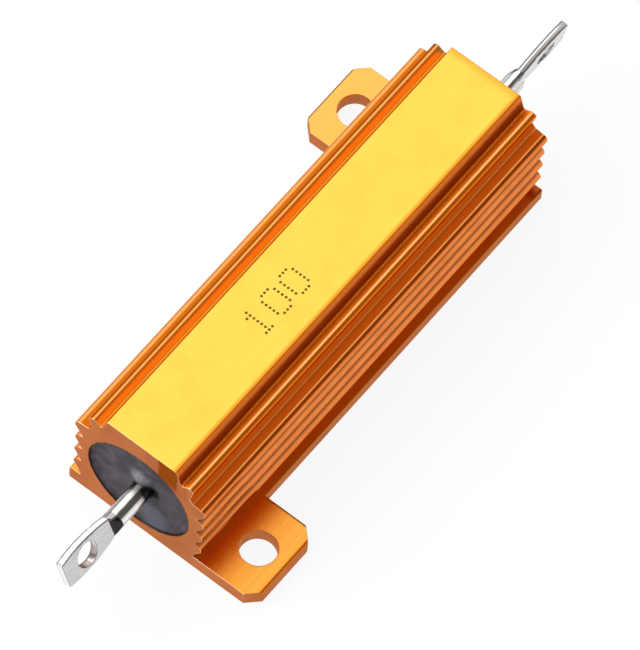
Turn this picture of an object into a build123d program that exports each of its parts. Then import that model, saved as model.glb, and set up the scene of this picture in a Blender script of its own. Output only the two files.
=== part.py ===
"""Aluminium housed wirewound resistor, 50 watt size, with a solder lug at each end.

Frame: +X runs along the body, +Z is up, and the origin is the centre of the base.
The mounting foot at the -X end reaches to -Y, the one at the +X end to +Y.
All sizes are in millimetres.
"""

from build123d import *

import os

# Bore and walls of the extruded housing, which set its height and its width
body_length = 50.0
bore_diameter = 11.4
bore_floor = 1.2
crown_wall = 2.45
side_wall = 0.8
fin_depth = 0.9

# Flat top, and the valley, crest and notch beside it: offsets run outward from
# the edge of the top, depths run down from it
top_setback = 3.45
top_edge_radius = 0.15
valley_offset = 0.55
valley_depth = 1.85
valley_radius = 0.25
crest_offset = 1.5
crest_depth = 1.22
crest_width = 0.5
crest_drop = 0.3
crest_radius = 0.4
crest_lip_radius = 0.25
notch_offset = 1.65
notch_depth = 3.15

# Broad ridge, whose top falls outward, and the fins below it in shares of their pitch
ridge_offset = 2.02
ridge_depth = 3.62
ridge_drop = 0.2
ridge_height = 0.95
ridge_radius = 0.5
ridge_lip_radius = 0.12
fin_count = 3
fin_setback = 0.08
fin_tip_share = 0.28
fin_slope_share = 0.12
fin_undercut_share = 0.56
fin_crown_share = 0.3
fin_lip_radius = 0.2
lowest_groove = 1.8

# Base strip and the two mounting feet
base_thickness = 1.75
strip_overhang = 0.3
strip_radius = 0.2
foot_length = 9.0
foot_reach = 6.2
foot_chamfer = 1.25
foot_edge_radius = 0.3
foot_hole_diameter = 3.6

# Moulded filling of the bore
filling_clearance = 0.02
filling_recess = 0.4
meniscus_rise = 0.28
meniscus_width = 0.5
collar_radius = 2.6
collar_rise = 0.8
collar_lip = 0.45

# Resistance element: ceramic rod, pressed end caps and one layer of flat wire
core_length = 35.0
core_diameter = 6.6
cap_wall = 0.35
cap_skirt = 3.2
press_clearance = 0.01
wire_width = 0.9
wire_thickness = 0.25
wire_turns = 14
wire_landing = 1.2

# Terminals: headed leads, flattened and pierced at the outer end, and standing a
# little to the -Y side of the bore's centre
lead_diameter = 2.0
lead_offset = 0.25
head_diameter = 3.6
head_thickness = 0.6
neck_length = 1.0
neck_round = 0.9
die_relief = 0.1
lug_length = 6.4
lug_thickness = 0.85
lug_root_width = 2.3
lug_waist_width = 3.5
lug_end_width = 3.0
lug_edge_radius = 0.2
lug_corner_radius = 0.3
lug_hole_diameter = 2.6
lug_hole_inset = 3.0
left_reach = 11.0
right_reach = 12.1
left_twist = 23.0
right_twist = -7.0

# How near two places must be for a selector to take them as one
match = 0.01

# Sizes worked out from the ones above
half_length = body_length / 2
bore_radius = bore_diameter / 2
bore_height = bore_floor + bore_radius
body_height = bore_floor + bore_diameter + crown_wall
fin_root = bore_radius + side_wall
fin_tip = fin_root + fin_depth
top_edge = fin_tip - top_setback
strip_edge = fin_tip + strip_overhang
foot_edge = fin_tip + foot_reach
foot_centre = half_length - foot_length / 2
foot_hole_y = fin_tip + foot_reach / 2
ridge_top = body_height - ridge_depth
ridge_bottom = ridge_top - ridge_height
fin_pitch = (ridge_bottom - base_thickness - lowest_groove) / fin_count
core_radius = core_diameter / 2
cap_end = core_length / 2 + cap_wall
head_end = cap_end + head_thickness
lead_radius = lead_diameter / 2
bore_axis = Axis((0, 0, bore_height), (1, 0, 0))
lengthwise = Plane(origin=(0, 0, bore_height), x_dir=(1, 0, 0), z_dir=(0, -1, 0))
crosswise = Plane(origin=(0, 0, bore_height), x_dir=(0, 1, 0), z_dir=(1, 0, 0))


def matching(sketch, *corners):
    """The vertices of a sketch that lie at the given corners on either side."""
    places = [Vector(side * y, z) for y, z in corners for side in (1, -1)]
    found = []
    for vertex in sketch.vertices():
        gap = min((Vector(*vertex) - place).length for place in places)
        if gap < match:
            found.append(vertex)
    return found


# Housing: one extrusion with its feet left standing at two opposite corners
top_corner = (top_edge, body_height)
valley = (top_edge + valley_offset, body_height - valley_depth)
crest_inner = (top_edge + crest_offset, body_height - crest_depth)
crest_outer = (crest_inner[0] + crest_width, crest_inner[1] - crest_drop)
notch = (top_edge + notch_offset, body_height - notch_depth)
ridge_inner = (top_edge + ridge_offset, ridge_top)
ridge_tip = [(fin_tip, ridge_top - ridge_drop), (fin_tip, ridge_bottom)]
fin_edge = fin_tip - fin_setback
fin_bottoms = [ridge_bottom - fin_pitch * step for step in range(fin_count + 1)]
fin_tops = [bottom + fin_pitch * fin_tip_share for bottom in fin_bottoms[1:]]
undercuts = [(fin_root, bottom - fin_pitch * fin_undercut_share) for bottom in fin_bottoms]
shoulders = [(fin_root, top + fin_pitch * fin_slope_share) for top in fin_tops]
fin_crowns = [(fin_edge, top) for top in fin_tops]
fin_lips = [(fin_edge, bottom) for bottom in fin_bottoms[1:]]

outline = [(0, body_height), top_corner, valley, crest_inner, crest_outer, notch, ridge_inner]
outline += ridge_tip + [undercuts[0]]
for shoulder, crown, lip, undercut in zip(shoulders, fin_crowns, fin_lips, undercuts[1:]):
    outline += [shoulder, crown, lip, undercut]
outline += [(fin_root, base_thickness), (strip_edge, base_thickness), (strip_edge, 0), (0, 0)]

with BuildPart() as housing:
    with BuildSketch(Plane.YZ.offset(-half_length)) as section:
        with BuildLine():
            Polyline(*outline, close=True)
        make_face()
        mirror(about=Plane.YZ)
        fillet(matching(section, top_corner), top_edge_radius)
        fillet(matching(section, valley), valley_radius)
        fillet(matching(section, crest_inner), crest_radius)
        fillet(matching(section, crest_outer), crest_lip_radius)
        fillet(matching(section, ridge_tip[0]), ridge_radius)
        fillet(matching(section, ridge_tip[1]), ridge_lip_radius)
        fillet(matching(section, *fin_crowns), fin_pitch * fin_crown_share)
        fillet(matching(section, *fin_lips), fin_lip_radius)
        fillet(matching(section, (strip_edge, base_thickness), (strip_edge, 0)), strip_radius)
    extrude(amount=body_length)
    for side in (-1, 1):
        with BuildSketch(Plane.XY) as foot_plan:
            with Locations((side * foot_centre, side * foot_edge / 2)):
                Rectangle(foot_length, foot_edge)
            chamfer(foot_plan.vertices().group_by(Axis.Y)[0 if side < 0 else -1], foot_chamfer)
        extrude(amount=base_thickness)
    lengthwise_edges = housing.edges().filter_by(Axis.X)
    level_edges = lengthwise_edges.filter_by_position(Axis.Z, base_thickness, base_thickness)
    outermost = level_edges.filter_by(lambda edge: abs(edge.center().Y) > foot_edge - match)
    fillet(outermost, foot_edge_radius)
    with BuildSketch(crosswise.offset(-half_length)):
        Circle(bore_radius)
    extrude(amount=body_length, mode=Mode.SUBTRACT)
    with BuildSketch(Plane.XY):
        with Locations((-foot_centre, -foot_hole_y), (foot_centre, foot_hole_y)):
            Circle(foot_hole_diameter / 2)
    extrude(amount=base_thickness, mode=Mode.SUBTRACT)
housing.part.label = "housing"


# Filling: moulded around the element, dished at each end with a collar on the lead
fill_radius = bore_radius - filling_clearance
fill_face = half_length - filling_recess
rim_inner = fill_radius - meniscus_width
collar_top = fill_face + collar_rise
collar_edge = lead_radius + collar_lip
lead_hole = lead_radius + filling_clearance
head_pocket = head_diameter / 2 + filling_clearance
winding_radius = core_radius + press_clearance + wire_thickness / 2
element_pocket = winding_radius + wire_thickness / 2 + filling_clearance

with BuildPart() as encapsulant:
    with BuildSketch(lengthwise):
        with BuildLine():
            wall = Line((0, fill_radius), (fill_face + meniscus_rise, fill_radius))
            rim = Bezier(wall @ 1, (fill_face, fill_radius), (fill_face, rim_inner))
            face = Line(rim @ 1, (fill_face, collar_radius))
            collar = Bezier(face @ 1, (fill_face, collar_edge), (collar_top, collar_edge))
            Polyline(
                collar @ 1,
                (collar_top, 0),
                (head_end, 0),
                (head_end, head_pocket),
                (cap_end, head_pocket),
                (cap_end, element_pocket),
                (0, element_pocket),
                wall @ 0,
            )
        make_face()
    revolve(axis=bore_axis)
    with BuildSketch(crosswise.offset(head_end)):
        with Locations((-lead_offset, 0)):
            Circle(lead_hole)
    extrude(amount=collar_top - head_end, mode=Mode.SUBTRACT)
    mirror(about=Plane.YZ)
encapsulant.part.label = "encapsulant"

# Ceramic rod, turned down at both ends for the caps
with BuildPart() as ceramic_core:
    with BuildSketch(crosswise.offset(-core_length / 2)):
        Circle(core_radius - cap_wall - press_clearance)
    extrude(amount=core_length)
    with BuildSketch(crosswise.offset(cap_skirt - core_length / 2)):
        Circle(core_radius)
    extrude(amount=core_length - 2 * cap_skirt)
ceramic_core.part.label = "ceramic_core"

# Flat resistance wire: one open layer, its first and last turns landing on the caps
winding_length = core_length - 2 * wire_landing
with BuildPart() as resistance_wire:
    with BuildLine() as winding:
        Helix(
            pitch=winding_length / wire_turns,
            height=winding_length,
            radius=winding_radius,
            center=(-winding_length / 2, 0, bore_height),
            direction=(1, 0, 0),
        )
    with BuildSketch(Plane(origin=winding.line @ 0, x_dir=(1, 0, 0), z_dir=winding.line % 0)):
        Rectangle(wire_width, wire_thickness)
    sweep(is_frenet=True)
resistance_wire.part.label = "resistance_wire"


def end_cap(name, side):
    """Drawn steel cup, pressed on one end of the ceramic rod."""
    with BuildPart() as cap:
        with BuildSketch(crosswise.offset(side * cap_end)):
            Circle(core_radius)
        extrude(amount=-side * (cap_wall + cap_skirt))
        with BuildSketch(crosswise.offset(side * core_length / 2)):
            Circle(core_radius - cap_wall)
        extrude(amount=-side * cap_skirt, mode=Mode.SUBTRACT)
    cap.part.label = name
    return cap


def terminal(name, side, reach, twist):
    """Headed lead whose outer end is pressed flat, turned by a twist, and pierced."""
    tip = side * (half_length + reach)
    lug_start = tip - side * lug_length
    plate_start = lug_start - side * lug_edge_radius
    neck_start = lug_start - side * neck_length
    hole_x = tip - side * lug_hole_inset
    half_thickness = lug_thickness / 2
    tilt = Vector(0, -1, 0).rotate(Axis.X, -twist)
    broad = Plane(origin=(0, -lead_offset, bore_height), x_dir=(1, 0, 0), z_dir=tilt)
    narrow = Plane(origin=broad.origin, x_dir=broad.x_dir, z_dir=broad.y_dir)
    oval = Plane(origin=broad.origin, x_dir=broad.y_dir, z_dir=(1, 0, 0))

    # Lug: widest beside the hole, where piercing pushed the metal out
    with BuildPart() as lug:
        with BuildSketch(broad) as plan:
            with BuildLine():
                root_corner = (plate_start, lug_root_width / 2)
                end_corner = (tip, lug_end_width / 2)
                waist = ThreePointArc(root_corner, (hole_x, lug_waist_width / 2), end_corner)
                mirror(waist, about=Plane.XZ)
                Line(root_corner, (plate_start, -lug_root_width / 2))
                Line(end_corner, (tip, -lug_end_width / 2))
            make_face()
            fillet(plan.vertices().group_by(Axis.X)[-1 if side > 0 else 0], lug_corner_radius)
        extrude(amount=half_thickness, both=True)
        rims = lug.faces().filter_by(Axis(broad.origin, tilt)).edges()
        root = side * plate_start
        fillet(rims.filter_by(lambda edge: side * edge.center().X > root + match), lug_edge_radius)
        with BuildSketch(broad):
            with Locations((hole_x, 0)):
                Circle(lug_hole_diameter / 2)
        extrude(amount=lug_thickness, both=True, mode=Mode.SUBTRACT)

    with BuildPart() as lead:
        # Neck: the round lead spreads to an oval and is pressed by two sloping dies
        with BuildSketch(oval.offset(neck_start)):
            Circle(lead_radius)
        with BuildSketch(oval.offset(lug_start)):
            Ellipse(lug_root_width / 2, lead_radius * neck_round)
        loft()
        with BuildSketch(narrow):
            Polygon(
                (neck_start, lead_radius + die_relief),
                (neck_start, -lead_radius - die_relief),
                (lug_start, -half_thickness),
                (lug_start, half_thickness),
                align=None,
            )
        extrude(amount=lug_root_width, both=True, mode=Mode.INTERSECT)
        add(lug.part)
        # Round lead, and the head that is welded to the cap
        with BuildSketch(oval.offset(side * cap_end)):
            Circle(lead_radius)
        extrude(amount=neck_start - side * cap_end)
        with BuildSketch(crosswise.offset(side * cap_end)):
            Circle(head_diameter / 2)
        extrude(amount=side * head_thickness)
    lead.part.label = name
    return lead


parts = [housing, encapsulant, ceramic_core, resistance_wire]
parts += [end_cap("end_cap_left", -1), end_cap("end_cap_right", 1)]
parts += [terminal("terminal_left", -1, left_reach, left_twist)]
parts += [terminal("terminal_right", 1, right_reach, right_twist)]
os.makedirs("parts", exist_ok=True)
for piece in parts:
    export_step(piece.part, f"parts/{piece.part.label}.step")
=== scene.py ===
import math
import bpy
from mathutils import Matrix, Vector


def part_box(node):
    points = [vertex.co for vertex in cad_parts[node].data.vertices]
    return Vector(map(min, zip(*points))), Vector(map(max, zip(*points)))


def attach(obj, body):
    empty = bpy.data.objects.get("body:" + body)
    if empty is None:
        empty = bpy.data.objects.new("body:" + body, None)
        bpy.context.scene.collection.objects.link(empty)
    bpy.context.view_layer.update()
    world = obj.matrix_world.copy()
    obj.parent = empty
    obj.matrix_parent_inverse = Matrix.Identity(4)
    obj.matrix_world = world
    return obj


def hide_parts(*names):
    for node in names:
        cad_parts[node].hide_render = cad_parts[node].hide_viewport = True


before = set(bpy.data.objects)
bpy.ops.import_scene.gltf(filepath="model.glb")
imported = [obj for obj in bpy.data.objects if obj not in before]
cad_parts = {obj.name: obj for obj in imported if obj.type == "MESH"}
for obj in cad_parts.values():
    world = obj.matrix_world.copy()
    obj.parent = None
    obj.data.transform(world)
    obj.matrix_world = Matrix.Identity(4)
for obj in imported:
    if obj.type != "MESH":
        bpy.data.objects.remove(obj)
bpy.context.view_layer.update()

# Aluminium housed resistor: finishes, poured filling, printed digits, camera and studio light.
#
# Scene units are metres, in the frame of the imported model: +X along the body, +Z up and the
# origin at the centre of the base. Lengths named or written without MM are in millimetres,
# and so are the places that materials work with. Near and far are the -X and +X ends, and
# left and right the +Y and -Y sides, as the camera sees the body. Only the CAD's own node
# names call the -X end left.

from types import SimpleNamespace

import bmesh
import bpy
from mathutils import Quaternion, Vector, noise

MM = 0.001

# Section of the housing: heights above the base, and distances from its middle plane
housing_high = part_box("housing")[1]
HALF_LENGTH = housing_high.x / MM
TOP = housing_high.z / MM
PLATEAU_HALF_WIDTH = 3.95
VALLEY_CORNER = 4.55
VALLEY_MIDDLE = 4.95
CREST = 5.65
SHELF_ROOT = 6.0
SHELF_HEIGHT = 11.4
SHELF_EDGE = 7.6
BEAD = 6.92
STRIP_EDGE = 7.7
BORE_RADIUS = 5.7
AXIS_HEIGHT = 6.9

# Smear on the near end: where it starts and ends in Y, and how far down it comes
SMEAR_INNER = -1.9
SMEAR_OUTER = -4.1
SMEAR_FOOT = 11.7

# Feet: top, outer edge, and the side that faces the middle of the body
FOOT_TOP = 1.75
FOOT_EDGE = 13.6
FOOT_INNER = 16.0

# Leads: distances out from the middle of the body at the near end, and how much more at the
# far end; how far each lug is turned from upright
LEAD_ACROSS = -0.25
LUG_START = 29.6
HOLE_PLACE = 33.0
LUG_TIP = 36.1
FAR_EXTRA = 1.1
NEAR_TURN = math.radians(23.0)
FAR_TURN = math.radians(-7.0)
LUG_HALF_THICKNESS = 0.425
DRAWN_LEAN = 0.25

# Painted dark reflections on the drawn wire are banded along this direction in Y and Z, and waver
STREAK_DIRECTION = (-0.96, -0.28)
STREAK_WOBBLE = 0.035

# Poured filling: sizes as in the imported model
FILL_RADIUS = 5.68
FILL_FACE = 24.6
LEAD_HOLE = 1.02
HEAD_END = 18.5
HEAD_POCKET = 1.83
CAP_END = 17.88
ELEMENT_POCKET = 3.6
FILL_SIDES = 96
FILL_RINGS = 26

# Its surface: creep up the wall and the lead, a hump, a pit, a paler place, and swells given
# as height and fineness. Places are across and above the bore's axis
WALL_CREEP = 0.28
LEAD_CREEP = 0.2
CREEP_WIDTH = 0.5
HUMP_PLACE = (0.15, 1.75)
HUMP_HEIGHT = 0.30
HUMP_SPREAD = 0.75
PIT_PLACE = (-1.2, 0.4)
PIT_DEPTH = 0.45
PIT_SPREAD = 0.6
PALE_PLACE = (-1.6, -4.0)
SWELLS = ((0.16, 0.45), (0.04, 1.6))
ENDS_APART = 5.0
LEVEL_MARGIN = 0.8

# Plain digits in the five by seven dot pattern of an ink printer
DIGIT_ROWS = {
    "0": (".###.", "#...#", "#...#", "#...#", "#...#", "#...#", ".###."),
    "1": ("..#..", ".##..", "..#..", "..#..", "..#..", "..#..", ".###."),
}
PRINTED_DIGITS = "100"
PRINT_CENTRE = Vector((-5.8, 0.0)) * MM
COLUMNS_PER_DIGIT = 6
DOT_PITCH = 0.44 * MM
DOT_RADIUS = 0.14 * MM
DOT_THICKNESS = 0.004 * MM
DOT_TOP_SHARE = 0.85
DOT_SIDES = 20

# Colours that more than one part of a material uses
# Painted shade on the base strip's top edge and upright face
STRIP_SHADE = (0.52, 0.11, 0.012)
# Grey for painted shade and dark reflections on both leads
SHADE_GREY = (0.27, 0.24, 0.225)

# Camera: where it looks, from which side, and with which lens
CAMERA_AIM = Vector((-1.76, -2.35, 7.5)) * MM
CAMERA_AZIMUTH = -57.68
CAMERA_ELEVATION = 61.83
CAMERA_ROLL = 6.68
CAMERA_DISTANCE = 835.6 * MM
CAMERA_LENS = 512.9
CAMERA_SENSOR = 36.0

# Light: radiance of each part of the room and of the lamp, and how white the floor is made
# to look
WINDOW_LIGHT = 1.5
WALL_LIGHT = 0.8
CEILING_LIGHT = 0.32
KEY_LIGHT = 7.0
KEY_AZIMUTH = 215.0
KEY_ELEVATION = 42.0
KEY_DISTANCE = 600 * MM
KEY_SIZE = 300 * MM
FLOOR_HALF_WIDTH = 4000 * MM
FLOOR_WHITENESS = 0.90


class Graph:
    """A node tree with one short method for each kind of node used here."""

    def __init__(self, tree):
        self.nodes = tree.nodes
        self.links = tree.links

    def feed(self, socket, value):
        if isinstance(value, bpy.types.NodeSocket):
            self.links.new(value, socket)
        else:
            socket.default_value = value

    def math(self, operation, *values):
        node = self.nodes.new("ShaderNodeMath")
        node.operation = operation
        for socket, value in zip(node.inputs, values):
            self.feed(socket, value)
        return node.outputs[0]

    def vector(self, operation, first, second=(0.0, 0.0, 0.0)):
        node = self.nodes.new("ShaderNodeVectorMath")
        node.operation = operation
        self.feed(node.inputs[0], first)
        self.feed(node.inputs[1], second)
        gives_number = operation in ("DOT_PRODUCT", "LENGTH")
        return node.outputs["Value" if gives_number else "Vector"]

    def split(self, vector):
        node = self.nodes.new("ShaderNodeSeparateXYZ")
        self.feed(node.inputs[0], vector)
        return node.outputs

    def plus(self, first, second):
        return self.math("ADD", first, second)

    def minus(self, first, second):
        return self.math("SUBTRACT", first, second)

    def size(self, value):
        return self.math("ABSOLUTE", value)

    def both(self, first, *others):
        """The product of masks: 1 only where all of them are."""
        for other in others:
            first = self.math("MULTIPLY", first, other)
        return first

    def either(self, first, *others):
        """The largest of several masks."""
        for other in others:
            first = self.math("MAXIMUM", first, other)
        return first

    def rise(self, value, low, high, start=0.0, end=1.0):
        """Runs smoothly from start to end as value goes from low to high."""
        node = self.nodes.new("ShaderNodeMapRange")
        node.interpolation_type = "SMOOTHSTEP"
        for socket, number in zip(node.inputs, (value, low, high, start, end)):
            self.feed(socket, number)
        return node.outputs[0]

    def band(self, value, low, high, blur):
        """1 where value is between low and high, with edges as soft as the blur."""
        after = self.math("DIVIDE", self.minus(value, low), blur)
        before = self.math("DIVIDE", self.minus(value, high), blur)
        return self.both(self.rise(after, -1.0, 1.0), self.rise(before, 1.0, -1.0))

    def mix(self, factor, first, second):
        """A colour between two others, each a socket or red, green and blue."""
        node = self.nodes.new("ShaderNodeMix")
        node.data_type = "RGBA"
        self.feed(node.inputs[0], factor)
        for socket, colour in ((node.inputs[6], first), (node.inputs[7], second)):
            self.feed(socket, (*colour, 1.0) if isinstance(colour, tuple) else colour)
        return node.outputs[2]

    def paint(self, colour, *layers):
        """Lays colours over one another, each where its own mask is 1."""
        for mask, over in layers:
            colour = self.mix(mask, colour, over)
        return colour


class Finish(Graph):
    """A Principled material whose patterns are placed in millimetres on the object."""

    BEVEL_SAMPLES = 8

    def __init__(self, name):
        self.material = bpy.data.materials.new(name)
        self.material.use_nodes = True
        super().__init__(self.material.node_tree)
        self.shader = self.nodes["Principled BSDF"]
        coordinates = self.nodes.new("ShaderNodeTexCoord")
        self.place = self.vector("MULTIPLY", coordinates.outputs["Object"], (1 / MM,) * 3)
        self.x, self.y, self.z = self.split(self.place)
        self.nx, self.ny, self.nz = self.split(coordinates.outputs["Normal"])

    def set(self, **values):
        """Feeds sockets of the shader, named with _ for each space."""
        for name, value in values.items():
            self.feed(self.shader.inputs[name.replace("_", " ")], value)

    def noise(self, scale, detail, stretch=(1.0, 1.0, 1.0)):
        """Fractal noise from 0 to 1; stretch multiplies how fast it varies along each axis."""
        node = self.nodes.new("ShaderNodeTexNoise")
        self.feed(node.inputs["Vector"], self.vector("MULTIPLY", self.place, stretch))
        node.inputs["Scale"].default_value = scale
        node.inputs["Detail"].default_value = detail
        return node.outputs["Fac"]

    def rounded(self, radius):
        """The surface direction, as if edges were rounded to a radius in metres."""
        bevel = self.nodes.new("ShaderNodeBevel")
        bevel.samples = self.BEVEL_SAMPLES
        self.feed(bevel.inputs["Radius"], radius)
        return bevel.outputs["Normal"]

    def edges(self, radius_mm, sharpness=0.08):
        """1 along the edges of the object, and 0 away from them."""
        surface = self.nodes.new("ShaderNodeNewGeometry").outputs["Normal"]
        likeness = self.vector("DOT_PRODUCT", self.rounded(radius_mm * MM), surface)
        return self.rise(likeness, 1.0 - 0.1 * sharpness, 1.0 - sharpness)

    def relief(self, height, depth_mm, edge_radius_mm=0.0, lean=None):
        """Bump of a height from 0 to 1, over edges that look slightly rounded.

        A lean is a small vector by which the shaded surface tips to one side.
        """
        bump = self.nodes.new("ShaderNodeBump")
        bump.inputs["Strength"].default_value = 1.0
        bump.inputs["Distance"].default_value = depth_mm * MM
        self.feed(bump.inputs["Height"], height)
        if edge_radius_mm:
            under = self.rounded(self.math("MULTIPLY", edge_radius_mm, MM))
            if lean:
                under = self.vector("ADD", under, lean)
            self.links.new(under, bump.inputs["Normal"])
        self.links.new(bump.outputs["Normal"], self.shader.inputs["Normal"])


def housing_zones(f):
    """Masks of the housing's kinds of surface: each is 1 on it and 0 elsewhere.

    Only side isn't a mask: it is the distance from the middle plane.
    """
    side = f.size(f.y)
    left = f.rise(f.y, 0.0, 1.0)
    right = f.rise(f.y, 0.0, -1.0)
    upright = f.rise(f.size(f.nz), 0.7, 0.5)
    ends = f.rise(f.size(f.nx), 0.6, 0.8)
    beyond_strip = f.rise(side, STRIP_EDGE - 0.1, STRIP_EDGE - 0.05)
    sawn_height = f.rise(f.z, FOOT_TOP - 0.4, FOOT_TOP - 0.55)
    above_shelf = f.rise(f.z, SHELF_HEIGHT - 0.35, SHELF_HEIGHT - 0.2)
    shelf_height = f.rise(f.z, SHELF_HEIGHT + 1.2, SHELF_HEIGHT + 0.9)
    valley_height = f.rise(f.z, TOP - 0.15, TOP - 0.35)
    crest_height = f.rise(f.z, TOP - 1.7, TOP - 1.5)
    crest_side = f.minus(side, f.both(left, 0.1))
    wall_height = f.rise(f.z, TOP - 0.12, TOP - 0.2)
    wall_side = f.rise(f.y, -VALLEY_CORNER - 0.15, -VALLEY_CORNER + 0.05)
    return SimpleNamespace(
        side=side,
        left=left,
        right=right,
        ends=ends,
        above_shelf=above_shelf,
        top=f.both(f.rise(f.z, TOP - 0.2, TOP - 0.1), f.rise(f.nz, 0.8, 0.97)),
        foot=f.both(f.rise(f.z, FOOT_TOP + 0.1, FOOT_TOP + 0.05), f.rise(f.nz, 0.3, 0.6)),
        cut=f.either(ends, f.both(beyond_strip, sawn_height, upright)),
        strip_face=f.both(beyond_strip, f.rise(f.z, FOOT_TOP + 0.05, FOOT_TOP), upright),
        shelf=f.both(above_shelf, shelf_height),
        valley=f.both(above_shelf, valley_height, f.rise(side, CREST - 0.2, CREST - 0.45)),
        crest=f.both(crest_height, f.rise(crest_side, CREST - 0.5, CREST - 0.25)),
        beyond_crest=f.both(crest_height, f.rise(side, CREST - 0.14, CREST - 0.02)),
        round_edges=f.both(crest_height, f.rise(side, CREST - 0.8, CREST - 0.6)),
        wall=f.both(right, above_shelf, wall_height, wall_side, f.rise(f.ny, -0.4, -0.6)),
    )


def flank_colour(f, on, clouds):
    """Fins, ridges and crests: orange with darker clouds, painted highlights and painted shade."""
    fin_orange = (0.84, 0.24, 0.056)
    # Paler orange deep between the fins: painted light that lifts the shade there
    fin_gap_brightened = (0.95, 0.28, 0.07)
    flank_orange = (0.82, 0.22, 0.012)
    # Darker orange, for random clouds and for painted shade on the right shelf
    dark_tone_and_shade = (0.56, 0.085, 0.004)
    # Painted highlights on the crests, the left shelf and the shelf edges, and in thin lines
    highlight_orange = (0.96, 0.36, 0.10)
    line_highlight = (1.0, 0.40, 0.10)
    crest_highlight = (1.0, 0.43, 0.15)
    slope_orange = (0.86, 0.18, 0.005)
    # Painted shade on the left shelf and the left crest's outer slope
    slope_shade = (0.50, 0.11, 0.004)

    fins = f.mix(f.rise(on.side, SHELF_EDGE - 0.2, SHELF_EDGE - 0.5), fin_orange, fin_gap_brightened)
    # Left shelf: painted shade inward, giving way to a painted highlight outward
    left_shelf = f.mix(f.rise(on.side, BEAD - 0.17, BEAD + 0.08), slope_shade, highlight_orange)
    shelf_edge = f.both(on.shelf, f.rise(on.side, SHELF_EDGE - 0.35, SHELF_EDGE - 0.25))
    bead = f.band(on.side, BEAD - 0.08, BEAD + 0.08, 0.03)
    root = f.band(on.side, SHELF_ROOT - 0.045, SHELF_ROOT + 0.055, 0.025)
    return f.paint(
        fins,
        (on.above_shelf, flank_orange),
        (f.rise(clouds, 0.35, 0.75, end=0.25), dark_tone_and_shade),
        # Right shelf in painted shade; the left shelf runs from painted shade to a painted
        # highlight
        (on.shelf, f.mix(on.left, dark_tone_and_shade, left_shelf)),
        # Painted highlights along the shelf edges, in thin lines on the right shelf and on the
        # crests
        (shelf_edge, highlight_orange),
        (f.both(f.either(bead, root), on.shelf, on.right), line_highlight),
        (on.crest, f.mix(on.left, crest_highlight, highlight_orange)),
        # Beyond the crests: orange on the right, painted shade on the left
        (on.beyond_crest, f.mix(on.left, slope_orange, slope_shade)),
    )


def valley_colour(f, on):
    """Floors of the valleys on either side of the flat top, with painted shade along the walls."""
    # Each side's floor colour stands in for how light falls there
    right_valley = (1.0, 0.29, 0.02)
    # Painted shade where the right floor meets the wall
    right_root = (0.82, 0.22, 0.012)
    left_valley = (0.86, 0.35, 0.045)
    left_rise = (0.90, 0.27, 0.03)
    # Painted shade in the left corner at the foot of the wall
    left_corner_shade = (0.58, 0.20, 0.015)

    by_wall = f.rise(on.side, VALLEY_MIDDLE, VALLEY_MIDDLE - 0.15)
    by_crest = f.rise(on.side, VALLEY_MIDDLE + 0.1, VALLEY_MIDDLE + 0.25)
    corner = f.both(
        f.rise(on.side, VALLEY_CORNER - 0.15, VALLEY_CORNER - 0.1),
        f.rise(on.side, VALLEY_CORNER + 0.15, VALLEY_CORNER + 0.05),
        f.rise(f.ny, -0.3, 0.0),
    )
    right_floor = f.mix(by_wall, right_valley, right_root)
    left_floor = f.paint(left_valley, (by_crest, left_rise), (corner, left_corner_shade))
    return f.mix(on.left, right_floor, left_floor)


def wall_colour(f):
    """The wall from the flat top down into the right valley, painted darker towards its foot as
    shade.
    """
    wall_orange = (0.80, 0.30, 0.07)
    wall_shade = (0.36, 0.08, 0.004)
    return f.mix(f.rise(f.z, TOP - 0.45, TOP - 0.95), wall_orange, wall_shade)


def foot_colour(f, on):
    """Upper faces of the feet and the base strip: gold, with painted shade by the body and rims.
    """
    gold = (0.80, 0.33, 0.045)
    # Paler gold on the left foot: painted light
    left_foot_lit_gold = (0.82, 0.42, 0.085)
    streak = (0.96, 0.40, 0.09)
    # Painted shade beside the body, on the left and inner rims, on the ledge and at its far end
    shade_by_body = (0.55, 0.15, 0.008)
    rim_orange = (0.85, 0.22, 0.025)
    rim_shade = (0.28, 0.10, 0.015)
    ledge_shade = (0.41, 0.15, 0.013)
    ledge_end_shade = (0.30, 0.055, 0.008)
    side, left, right = on.side, on.left, on.right

    ledge_colour = f.paint(
        ledge_shade,
        (f.rise(side, STRIP_EDGE - 0.3, STRIP_EDGE - 0.2), STRIP_SHADE),
        (f.rise(f.x, HALF_LENGTH - 1.7, HALF_LENGTH - 1.2), ledge_end_shade),
    )
    broad_lines = f.noise(1.0, detail=2.0, stretch=(0.02, 2.2, 2.2))
    ledge = f.both(right, f.rise(side, STRIP_EDGE + 0.05, STRIP_EDGE))
    left_ledge = f.both(left, f.rise(side, STRIP_EDGE + 0.3, STRIP_EDGE + 0.2))
    left_foot = f.both(left, f.rise(side, STRIP_EDGE + 1.0, STRIP_EDGE + 2.2))
    outer_side = f.minus(side, f.both(left, 0.17))
    outer_rim = f.rise(outer_side, FOOT_EDGE - 0.4, FOOT_EDGE - 0.3)
    inner_rim = f.both(
        right,
        f.rise(f.x, -FOOT_INNER - 0.25, -FOOT_INNER - 0.1),
        f.rise(side, STRIP_EDGE, STRIP_EDGE + 0.6),
    )
    return f.paint(
        gold,
        (f.rise(broad_lines, 0.45, 0.7, end=0.4), streak),
        (f.rise(side, STRIP_EDGE + 2.2, STRIP_EDGE - 0.2), shade_by_body),
        (ledge, ledge_colour),
        (left_ledge, gold),
        (left_foot, left_foot_lit_gold),
        (outer_rim, f.mix(left, rim_orange, rim_shade)),
        (inner_rim, rim_shade),
    )


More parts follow.
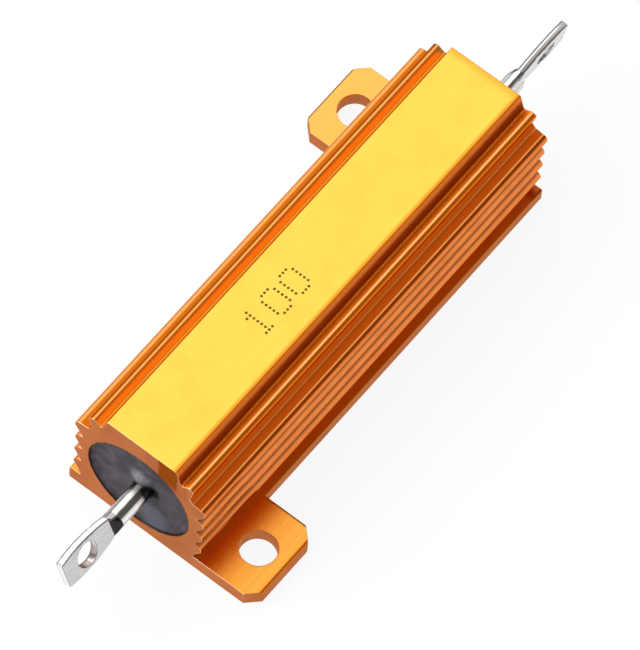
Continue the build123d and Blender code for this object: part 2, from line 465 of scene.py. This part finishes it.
def top_colour(f, clouds):
    """The flat top: yellow with faint clouds, and amber along its right and far edges."""
    yellow = (0.75, 0.54, 0.080)
    deep_yellow = (0.73, 0.48, 0.062)
    amber = (0.72, 0.22, 0.012)
    right_edge = f.rise(f.y, -PLATEAU_HALF_WIDTH + 0.6, -PLATEAU_HALF_WIDTH + 0.1)
    far_edge = f.both(f.rise(f.x, HALF_LENGTH - 1.1, HALF_LENGTH), 0.5)
    return f.paint(
        yellow,
        (f.rise(clouds, 0.4, 0.75, end=0.6), deep_yellow),
        (f.either(right_edge, far_edge), amber),
    )


def cut_colour(f, clouds):
    """Sawn faces: matt copper, with a rusty smear on the near end beside the flat top."""
    copper = (0.57, 0.20, 0.082)
    dark_copper = (0.50, 0.165, 0.065)
    smear_rust = (0.38, 0.085, 0.004)
    patchy = f.both(f.minus(f.noise(1.2, detail=3.0), 0.5), 1.2)
    ragged_y = f.plus(f.y, patchy)
    smear = f.both(
        f.rise(ragged_y, SMEAR_INNER + 0.15, SMEAR_INNER - 0.15),
        f.rise(ragged_y, SMEAR_OUTER - 0.1, SMEAR_OUTER + 0.1),
        f.rise(f.z, SMEAR_FOOT - 0.5, SMEAR_FOOT + 0.5),
        f.rise(f.x, 1.0, -1.0),
        0.95,
    )
    return f.paint(copper, (f.rise(clouds, 0.35, 0.7), dark_copper), (smear, smear_rust))


def bore_layers(f, on):
    """Filling stain round the bore, painted shade inside it, and pale lines along the near end's
    edges.
    """
    # Stain of filling round the bore, also painted as shade inside it
    resin_stain_and_shade = (0.10, 0.05, 0.035)
    pale_edge_colour = (0.95, 0.62, 0.38)
    above_axis = f.minus(f.z, AXIS_HEIGHT)
    from_axis = f.math("SQRT", f.plus(f.both(f.y, f.y), f.both(above_axis, above_axis)))
    ragged = f.plus(from_axis, f.both(f.noise(2.0, detail=2.0), 0.35))
    stain = f.both(on.ends, f.rise(ragged, BORE_RADIUS + 0.33, BORE_RADIUS + 0.15))
    # Painted shade on the wall inside the bore
    bore_wall = f.rise(from_axis, BORE_RADIUS + 0.05, BORE_RADIUS + 0.02)
    pale_edge_lines = f.both(
        f.edges(0.10),
        f.rise(f.x, 1.0 - HALF_LENGTH, 0.5 - HALF_LENGTH),
        f.rise(from_axis, BORE_RADIUS + 0.2, BORE_RADIUS + 0.5),
        f.rise(f.noise(0.6, detail=2.0), 0.3, 0.6, start=0.4),
        f.rise(stain, 0.5, 0.0),
    )
    return (stain, resin_stain_and_shade), (bore_wall, resin_stain_and_shade), (pale_edge_lines, pale_edge_colour)


def anodised_housing():
    """Gold anodised extrusion: yellow flat top, orange flanks, matt copper cut faces."""
    f = Finish("gold_anodised_aluminium")
    on = housing_zones(f)
    clouds = f.noise(0.35, detail=3.0)
    colour = f.paint(
        flank_colour(f, on, clouds),
        (on.valley, valley_colour(f, on)),
        (on.wall, wall_colour(f)),
        # Painted shade on the strip's upright face
        (on.strip_face, STRIP_SHADE),
        (on.foot, foot_colour(f, on)),
        (on.top, top_colour(f, clouds)),
        (on.cut, cut_colour(f, clouds)),
        *bore_layers(f, on),
    )

    # Drawing lines left by the die, which run the length of the body
    drawn_lines = f.noise(1.0, detail=3.0, stretch=(0.02, 16.0, 16.0))
    matt_valley = f.either(f.both(on.valley, on.right), on.wall)
    roughness = f.rise(drawn_lines, 0.2, 0.8, start=0.25, end=0.31)
    roughness = f.plus(f.plus(roughness, f.both(on.cut, 0.25)), f.both(matt_valley, 0.33))
    f.set(Base_Color=colour, Metallic=1.0, Roughness=roughness)
    f.set(Specular_Tint=(1.0, 0.72, 0.52, 1.0))

    # Lines and grain, both fainter on the top and the feet, and saw marks on the cut faces
    grain = f.noise(22.0, detail=2.0)
    saw_marks = f.noise(1.0, detail=2.0, stretch=(1.0, 1.2, 14.0))
    smooth = f.either(on.top, on.foot)
    drawn = f.plus(drawn_lines, f.both(grain, f.rise(smooth, 0.0, 1.0, start=0.35, end=0.12)))
    drawn = f.both(drawn, f.rise(smooth, 0.0, 1.0, start=1.0, end=0.35))
    sawn = f.plus(f.both(saw_marks, 1.5), f.both(grain, 0.8))
    height = f.plus(f.both(drawn, f.minus(1.0, on.cut)), f.both(sawn, on.cut))
    edge_radius = f.rise(on.round_edges, 0.0, 1.0, start=0.12, end=0.35)
    f.relief(height, depth_mm=0.0014, edge_radius_mm=edge_radius)
    return f.material


def filling_compound():
    """Dark moulding compound: matt, mottled, painted highlight above the lead, painted shade by
    it.
    """
    light_mottle = (0.085, 0.075, 0.088)
    dark_mottle = (0.042, 0.036, 0.044)
    low_grey = (0.125, 0.125, 0.160)
    # Pale grey for a painted highlight on the hump above the lead
    highlight_grey = (0.27, 0.27, 0.28)
    # Painted shade beside the lead and in the pit
    lead_shade = (0.02, 0.017, 0.018)
    pit_shade = (0.008, 0.006, 0.006)
    f = Finish("dark_moulding_compound")
    specks = f.noise(9.0, detail=3.0)
    clouds = f.noise(0.8, detail=3.0)
    tone = f.plus(f.both(specks, 0.4), f.both(clouds, 0.6))

    def near(place, inner, outer):
        """A ragged spot that fades between two distances from a place on the end faces."""
        across, above = place
        offset = f.vector("SUBTRACT", f.place, (0.0, across, AXIS_HEIGHT + above))
        distance = f.vector("LENGTH", f.vector("MULTIPLY", offset, (0.0, 1.0, 1.0)))
        ragged = f.plus(distance, f.both(f.noise(2.5, detail=3.0), 0.8))
        return f.rise(ragged, outer + 0.4, inner + 0.4)

    mottled_highlight = f.rise(specks, 0.3, 0.6, start=0.3, end=0.9)
    colour = f.paint(
        f.mix(f.rise(tone, 0.38, 0.66), dark_mottle, light_mottle),
        (f.both(near(PALE_PLACE, inner=0.8, outer=2.6), 0.7), low_grey),
        (f.both(near(HUMP_PLACE, inner=0.2, outer=1.5), mottled_highlight), highlight_grey),
        (f.both(near((LEAD_ACROSS, 0.0), inner=0.95, outer=1.3), 0.7), lead_shade),
        (near(PIT_PLACE, inner=0.6, outer=1.1), pit_shade),
    )
    f.set(Base_Color=colour, Roughness=f.rise(specks, 0.3, 0.7, start=0.5, end=0.68))
    f.set(Specular_IOR_Level=0.15)
    f.relief(f.plus(specks, clouds), depth_mm=0.035)
    return f.material


def by_end(f, near, far):
    """One number at the near end of the object, and another at the far end."""
    return f.rise(f.x, -1.0, 1.0, near, far)


def lead_places(f):
    """Where a point of a lead is, and masks of the lead's parts; the same at both ends.

    Out runs along the lead, from_hole and above start at the middle of its hole, around
    goes down over the drawn wire, and through goes from one face of the lug to the other.
    """
    out = f.minus(f.size(f.x), by_end(f, 0.0, FAR_EXTRA))
    aside = f.minus(f.y, LEAD_ACROSS)
    above = f.minus(f.z, AXIS_HEIGHT)
    from_hole = f.minus(out, HOLE_PLACE)
    wobble = f.rise(f.noise(1.3, detail=3.0), 0.2, 0.8, start=-STREAK_WOBBLE, end=STREAK_WOBBLE)

    def turned(y, z):
        """The part of a direction that goes through the lug."""
        along_y = f.both(y, by_end(f, math.cos(NEAR_TURN), math.cos(FAR_TURN)))
        along_z = f.both(z, by_end(f, math.sin(NEAR_TURN), math.sin(FAR_TURN)))
        return f.minus(along_z, along_y)

    around = (f.both(place, part) for place, part in zip((aside, above), STREAK_DIRECTION))
    facing = f.size(turned(f.ny, f.nz))
    pressed = f.rise(out, LUG_START - 0.2, LUG_START + 0.1)
    drawn = f.rise(out, LUG_START - 0.9, LUG_START - 1.0)
    from_hole_squared = f.plus(f.both(from_hole, from_hole), f.both(above, above))
    return SimpleNamespace(
        out=out,
        above=above,
        from_hole=from_hole,
        wobble=wobble,
        around=f.plus(f.plus(*around), wobble),
        through=f.math("DIVIDE", turned(aside, above), LUG_HALF_THICKNESS),
        pressed=pressed,
        drawn=drawn,
        neck=f.both(f.minus(1.0, drawn), f.rise(out, LUG_START + 0.06, LUG_START)),
        flat=f.both(pressed, f.rise(facing, 0.7, 0.85)),
        sides=f.rise(facing, 0.8, 0.7),
        clear_of_hole=f.rise(from_hole_squared, 2.2, 2.8),
    )


def wire_layers(f, at):
    """Painted dark reflections along the drawn wire, which darkens where it leaves the filling."""
    root_brown = (0.085, 0.075, 0.07)
    root_black = (0.02, 0.018, 0.017)
    # Painted dark reflections, in bands across the wire
    middle = f.band(at.around, -0.21, by_end(f, 0.44, 0.12), 0.09)
    low_streak = f.both(f.band(at.around, 0.55, 0.82, 0.07), by_end(f, 0.0, 0.45))
    lower_edge = f.both(f.rise(at.around, 0.74, 0.98), by_end(f, 0.75, 0.3))
    upper_edge = f.both(f.rise(at.around, -0.68, -0.84), 0.72)
    reflection_bands = f.either(middle, low_streak, lower_edge, upper_edge)
    wire = f.either(at.drawn, f.both(at.neck, by_end(f, 0.0, 1.0)))
    not_below = f.rise(f.nz, -0.3, -0.1)
    from_face = f.plus(f.minus(f.size(f.x), FILL_FACE), f.both(at.wobble, 6.0))
    # Painted shade on the wire's lower side where it leaves the filling
    root_shade = f.both(f.rise(from_face, 1.3, 0.8), f.rise(at.around, -0.3, 0.1))
    return (
        (f.both(reflection_bands, wire, not_below), SHADE_GREY),
        (f.both(f.rise(from_face, 2.1, 0.7), 0.93), root_brown),
        (root_shade, root_black),
    )


def lug_layers(f, at):
    """Painted shade on the near lead's pressed neck, and on the rims and in the holes of both
    lugs.
    """
    # Painted shade: the near neck's lower facet, the lug rims, and the lower part of the near hole
    neck_black = (0.035, 0.032, 0.03)
    rim_black = (0.10, 0.09, 0.085)
    hole_brown = (0.36, 0.27, 0.25)
    near_neck = f.both(at.neck, by_end(f, 1.0, 0.0))
    rim_place = f.rise(at.out, LUG_START - 1.2, LUG_START, start=-1.7, end=-0.55)
    outer_rim = f.both(
        f.rise(f.minus(at.through, rim_place), 0.07, -0.07),
        at.sides,
        f.rise(at.out, LUG_START - 1.4, LUG_START - 1.0),
    )
    rim_width = by_end(f, 0.76, -0.25), by_end(f, 2.0, 0.9)
    inner_rim = f.both(f.band(at.through, *rim_width, by_end(f, 0.04, 0.16)), by_end(f, 1.0, 0.88))
    tip = f.both(f.rise(at.out, LUG_TIP - 1.9, LUG_TIP - 0.5), by_end(f, 0.0, 0.85))
    rims = f.both(f.either(inner_rim, tip), at.pressed, at.sides)
    face_rim = f.both(f.edges(0.12, 0.03), at.flat, by_end(f, 0.7, 0.3))
    hole = f.rise(at.clear_of_hole, 0.5, 0.0)
    in_hole = f.both(at.sides, hole)
    low_in_hole = f.both(in_hole, by_end(f, 1.0, 0.0), f.rise(at.above, 0.1, -0.7))
    hole_ends = f.both(f.rise(f.size(at.from_hole), 0.85, 1.15), in_hole)
    return (
        (f.both(near_neck, 0.75), SHADE_GREY),
        (f.both(near_neck, f.rise(f.ny, -0.2, -0.38)), neck_black),
        (f.both(outer_rim, 0.9), rim_black),
        (f.both(f.either(rims, face_rim), at.clear_of_hole), SHADE_GREY),
        (f.both(in_hole, by_end(f, 0.45, 0.0)), SHADE_GREY),
        (f.both(low_in_hole, 0.7), hole_brown),
        (f.both(hole_ends, by_end(f, 0.0, 0.35)), SHADE_GREY),
    )


def tinned_metal():
    """Bright tin over drawn wire; the near lug's flat faces are painted greyer as shade."""
    bright, bright_worn = (0.92, 0.91, 0.90), (0.80, 0.79, 0.78)
    # Greyer tin for the near lug's flat faces: painted shade
    pressed, shaded_face_scuffed = (0.64, 0.62, 0.62), (0.56, 0.545, 0.55)
    f = Finish("bright_tin_plate")
    at = lead_places(f)
    scuffs = f.noise(6.0, detail=4.0, stretch=(0.25, 1.0, 1.0))
    bright_tin = f.mix(f.rise(scuffs, 0.4, 0.75), bright, bright_worn)
    shaded_face_tin = f.mix(f.rise(scuffs, 0.35, 0.7), pressed, shaded_face_scuffed)
    face_tin = f.mix(by_end(f, 0.0, 1.0), shaded_face_tin, bright_tin)
    colour = f.paint(bright_tin, (at.flat, face_tin), *wire_layers(f, at), *lug_layers(f, at))
    f.set(Base_Color=colour, Metallic=1.0, Roughness=f.rise(scuffs, 0.3, 0.8, start=0.12, end=0.2))

    # Ripples and scratches, on a surface that leans outward as the drawn wire's does
    ripples = f.noise(0.9, detail=2.0)
    scratches = f.noise(9.0, detail=2.0, stretch=(0.1, 1.0, 1.0))
    lean = f.nodes.new("ShaderNodeCombineXYZ")
    f.feed(lean.inputs[0], by_end(f, -DRAWN_LEAN, DRAWN_LEAN))
    height = f.plus(ripples, f.both(scratches, 0.15))
    edge_radius = f.rise(at.pressed, 0.0, 1.0, start=0.05, end=0.25)
    f.relief(height, depth_mm=0.010, edge_radius_mm=edge_radius, lean=lean.outputs[0])
    return f.material


def plated_cap():
    """Plated pressed steel of the hidden end caps."""
    f = Finish("plated_pressed_steel")
    marks = f.noise(3.0, detail=3.0, stretch=(0.3, 1.0, 1.0))
    colour = f.mix(marks, (0.55, 0.55, 0.56), (0.72, 0.72, 0.73))
    f.set(Base_Color=colour, Metallic=1.0, Roughness=f.rise(marks, 0.2, 0.8, start=0.25, end=0.4))
    f.relief(marks, depth_mm=0.01)
    return f.material


def resistance_alloy():
    """Drawn flat wire of the hidden winding."""
    f = Finish("drawn_resistance_alloy")
    lines = f.noise(5.0, detail=3.0, stretch=(3.0, 0.4, 0.4))
    colour = f.mix(lines, (0.42, 0.39, 0.36), (0.58, 0.55, 0.52))
    f.set(Base_Color=colour, Metallic=1.0, Roughness=f.rise(lines, 0.2, 0.8, start=0.28, end=0.42))
    f.relief(lines, depth_mm=0.006)
    return f.material


def fired_ceramic():
    """Bare fired ceramic of the hidden core."""
    f = Finish("bare_fired_ceramic")
    specks = f.noise(7.0, detail=4.0)
    colour = f.mix(f.rise(specks, 0.3, 0.7), (0.76, 0.74, 0.69), (0.86, 0.84, 0.80))
    f.set(Base_Color=colour, Roughness=f.rise(specks, 0.2, 0.8, start=0.6, end=0.8))
    f.relief(specks, depth_mm=0.02)
    return f.material


def marking_ink():
    """Brown dot print, thinner and redder here and there."""
    f = Finish("brown_marking_ink")
    wear = f.noise(5.0, detail=3.0)
    colour = f.mix(f.rise(wear, 0.35, 0.7), (0.12, 0.045, 0.004), (0.26, 0.12, 0.012))
    f.set(Base_Color=colour, Roughness=f.rise(wear, 0.2, 0.8, start=0.45, end=0.65))
    f.set(Specular_IOR_Level=0.12)
    f.relief(wear, depth_mm=0.01)
    return f.material


def finish_nodes(filling_finish):
    """Gives every carried-over node its material."""
    finishes = {
        "housing": anodised_housing(),
        "encapsulant": filling_finish,
        "ceramic_core": fired_ceramic(),
        "resistance_wire": resistance_alloy(),
    }
    finishes["end_cap_left"] = finishes["end_cap_right"] = plated_cap()
    finishes["terminal_left"] = finishes["terminal_right"] = tinned_metal()
    for name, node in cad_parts.items():
        node.data.materials.clear()
        node.data.materials.append(finishes[name])


def make_piece(name, mesh, material):
    """A new object in the scene from a finished bmesh, which is freed."""
    data = bpy.data.meshes.new(name)
    mesh.to_mesh(data)
    mesh.free()
    data.materials.append(material)
    piece = bpy.data.objects.new(name, data)
    bpy.context.scene.collection.objects.link(piece)
    return piece


def circle(radius, sides):
    """Points of a circle round the origin, as pairs of numbers."""
    turns = (2 * math.pi * step / sides for step in range(sides))
    return [(radius * math.cos(turn), radius * math.sin(turn)) for turn in turns]


def filling_height(across, above, end):
    """How far the poured surface stands out from its level, at one end of the bore."""
    from_axis = math.hypot(across, above)
    from_lead = math.hypot(across - LEAD_ACROSS, above)
    by_wall = max(0.0, 1.0 - (FILL_RADIUS - from_axis) / CREEP_WIDTH)
    by_lead = max(0.0, 1.0 - (from_lead - LEAD_HOLE) / CREEP_WIDTH)
    height = WALL_CREEP * by_wall**2 + LEAD_CREEP * by_lead**2
    hump = math.hypot(across - HUMP_PLACE[0], above - HUMP_PLACE[1])
    height += HUMP_HEIGHT * math.exp(-((hump / HUMP_SPREAD) ** 2))
    pit = math.hypot(across - PIT_PLACE[0], above - PIT_PLACE[1])
    height -= PIT_DEPTH * math.exp(-((pit / PIT_SPREAD) ** 2))
    steady = min(1.0, max(0.0, (FILL_RADIUS - from_axis) / LEVEL_MARGIN))
    for swell, fineness in SWELLS:
        place = Vector((fineness * across, fineness * above, ENDS_APART * end))
        height += swell * steady * noise.noise(place)
    return height


def poured_filling(finish):
    """The compound as it was poured: uneven at both ends, hollow round the element."""
    mesh = bmesh.new()

    def ring(x, radius, across=0.0, end=0):
        corners = []
        for aside, above in circle(radius, FILL_SIDES):
            y = across + aside
            lift = end * filling_height(y, above, end) if end else 0.0
            corners.append(mesh.verts.new(Vector((x + lift, y, AXIS_HEIGHT + above)) * MM))
        return corners

    def poured_end(end):
        rings = []
        for step in range(FILL_RINGS + 1):
            share = step / FILL_RINGS
            radius = FILL_RADIUS + (LEAD_HOLE - FILL_RADIUS) * share
            rings.append(ring(end * FILL_FACE, radius, LEAD_ACROSS * share, end))
        return rings

    def pocket(end):
        return [
            ring(end * HEAD_END, LEAD_HOLE, LEAD_ACROSS),
            ring(end * HEAD_END, HEAD_POCKET),
            ring(end * CAP_END, HEAD_POCKET),
            ring(end * CAP_END, ELEMENT_POCKET),
        ]

    near, far = poured_end(-1), poured_end(1)
    rings = near + pocket(-1) + pocket(1)[::-1] + far[::-1]
    far_start = len(rings) - 1 - FILL_RINGS
    for index, first in enumerate(rings):
        second = rings[(index + 1) % len(rings)]
        on_poured_end = index < FILL_RINGS or far_start <= index < len(rings) - 1
        for step in range(FILL_SIDES):
            after = (step + 1) % FILL_SIDES
            face = mesh.faces.new((first[step], first[after], second[after], second[step]))
            face.smooth = on_poured_end
    bmesh.ops.recalc_face_normals(mesh, faces=mesh.faces)
    filling = make_piece("poured_filling", mesh, finish)
    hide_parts("encapsulant")
    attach(filling, "root")


def printed_digits():
    """One thin disc for each printed dot, laid on the flat top."""
    mesh = bmesh.new()
    columns = COLUMNS_PER_DIGIT * len(PRINTED_DIGITS) - 1
    for place, digit in enumerate(PRINTED_DIGITS):
        rows = DIGIT_ROWS[digit]
        for row, cells in enumerate(rows):
            for column, cell in enumerate(cells):
                if cell != "#":
                    continue
                across = COLUMNS_PER_DIGIT * place + column - (columns - 1) / 2
                up = (len(rows) - 1) / 2 - row
                add_dot(mesh, PRINT_CENTRE + Vector((across, up)) * DOT_PITCH)
    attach(make_piece("printed_digits", mesh, marking_ink()), "root")


def add_dot(mesh, centre):
    """A low disc whose rim runs down to the flat top."""
    outer, inner = (
        [
            mesh.verts.new((centre.x + x, centre.y + y, housing_high.z + height))
            for x, y in circle(radius, DOT_SIDES)
        ]
        for radius, height in ((DOT_RADIUS, 0.0), (DOT_TOP_SHARE * DOT_RADIUS, DOT_THICKNESS))
    )
    for step in range(DOT_SIDES):
        after = (step + 1) % DOT_SIDES
        mesh.faces.new((outer[step], outer[after], inner[after], inner[step]))
    mesh.faces.new(inner)
    mesh.faces.new(reversed(outer))


def direction(azimuth, elevation):
    """Unit vector from the object towards a side: azimuth 0 is -Y, and 90 is +X."""
    turn, rise = math.radians(azimuth), math.radians(elevation)
    level = math.cos(rise)
    return Vector((math.sin(turn) * level, -math.cos(turn) * level, math.sin(rise)))


def place_camera():
    """Long lens looking down one side of the body, slightly rolled."""
    towards = direction(CAMERA_AZIMUTH, CAMERA_ELEVATION)
    data = bpy.data.cameras.new("camera")
    data.lens = CAMERA_LENS
    data.sensor_width = CAMERA_SENSOR
    data.clip_start = 0.01
    data.clip_end = 20.0
    camera = bpy.data.objects.new("camera", data)
    camera.location = CAMERA_AIM + towards * CAMERA_DISTANCE
    level = (-towards).to_track_quat("-Z", "Y")
    camera.rotation_mode = "QUATERNION"
    camera.rotation_quaternion = level @ Quaternion((0.0, 0.0, 1.0), math.radians(CAMERA_ROLL))
    bpy.context.scene.collection.objects.link(camera)
    bpy.context.scene.camera = camera


def key_softbox():
    """Square soft lamp of an even radiance, facing the middle of the body."""
    data = bpy.data.lights.new("key_light", "AREA")
    data.shape = "RECTANGLE"
    data.size = data.size_y = KEY_SIZE
    data.energy = KEY_LIGHT * math.pi * KEY_SIZE**2
    lamp = bpy.data.objects.new("key_light", data)
    middle = Vector((0.0, 0.0, AXIS_HEIGHT * MM))
    towards = direction(KEY_AZIMUTH, KEY_ELEVATION)
    lamp.location = middle + towards * KEY_DISTANCE
    lamp.rotation_mode = "QUATERNION"
    lamp.rotation_quaternion = (-towards).to_track_quat("-Z", "Y")
    bpy.context.scene.collection.objects.link(lamp)


def pale_paper():
    """Matt paper, which the camera and all reflections see as nearly white."""
    material = bpy.data.materials.new("pale_paper")
    material.use_nodes = True
    g = Graph(material.node_tree)
    paper = g.nodes["Principled BSDF"]
    paper.inputs["Base Color"].default_value = (0.92, 0.92, 0.92, 1.0)
    paper.inputs["Roughness"].default_value = 0.9
    paper.inputs["Specular IOR Level"].default_value = 0.0
    white = g.nodes.new("ShaderNodeEmission")
    white.inputs["Strength"].default_value = 1.0
    path = g.nodes.new("ShaderNodeLightPath").outputs
    seen = g.either(*(path[f"Is {kind} Ray"] for kind in ("Camera", "Glossy", "Transmission")))
    blend = g.nodes.new("ShaderNodeMixShader")
    g.feed(blend.inputs[0], g.both(seen, FLOOR_WHITENESS))
    g.links.new(paper.outputs[0], blend.inputs[1])
    g.links.new(white.outputs[0], blend.inputs[2])
    g.links.new(blend.outputs[0], g.nodes["Material Output"].inputs["Surface"])
    return material


def studio_floor():
    """Pale sheet under the object, which keeps a faint shadow of it."""
    mesh = bmesh.new()
    bmesh.ops.create_grid(mesh, x_segments=1, y_segments=1, size=FLOOR_HALF_WIDTH)
    make_piece("floor", mesh, pale_paper())


def studio_world():
    """Room with a large soft window on the left, pale walls and a dark ceiling.

    Side runs from -1, level on the right, over 0, overhead, to 1, level on the left. The
    window's light falls off past its upper edge and near the horizon.
    """
    world = bpy.data.worlds.new("studio")
    bpy.context.scene.world = world
    world.use_nodes = True
    g = Graph(world.node_tree)
    towards = g.nodes.new("ShaderNodeTexCoord").outputs["Generated"]
    _, y, up = g.split(towards)
    from_length = g.math("SQRT", g.plus(g.both(y, y), g.both(up, up)))
    side = g.math("DIVIDE", y, g.either(from_length, 0.01))
    window = g.both(g.rise(side, -0.18, 0.20), g.rise(side, 0.97, 0.82, start=0.2))
    light = g.rise(window, 0.0, 1.0, start=CEILING_LIGHT, end=WINDOW_LIGHT)
    wall_height = g.rise(up, 0.46, 0.34, end=WALL_LIGHT)
    walls = g.both(wall_height, g.rise(side, 0.3, -0.3, start=0.5))
    background = world.node_tree.nodes["Background"]
    background.inputs["Color"].default_value = (1.0, 1.0, 1.0, 1.0)
    g.feed(background.inputs["Strength"], g.either(light, walls))


filling_finish = filling_compound()
finish_nodes(filling_finish)
poured_filling(filling_finish)
printed_digits()
place_camera()
studio_floor()
studio_world()
key_softbox()
bpy.context.scene.view_settings.view_transform = "Standard"
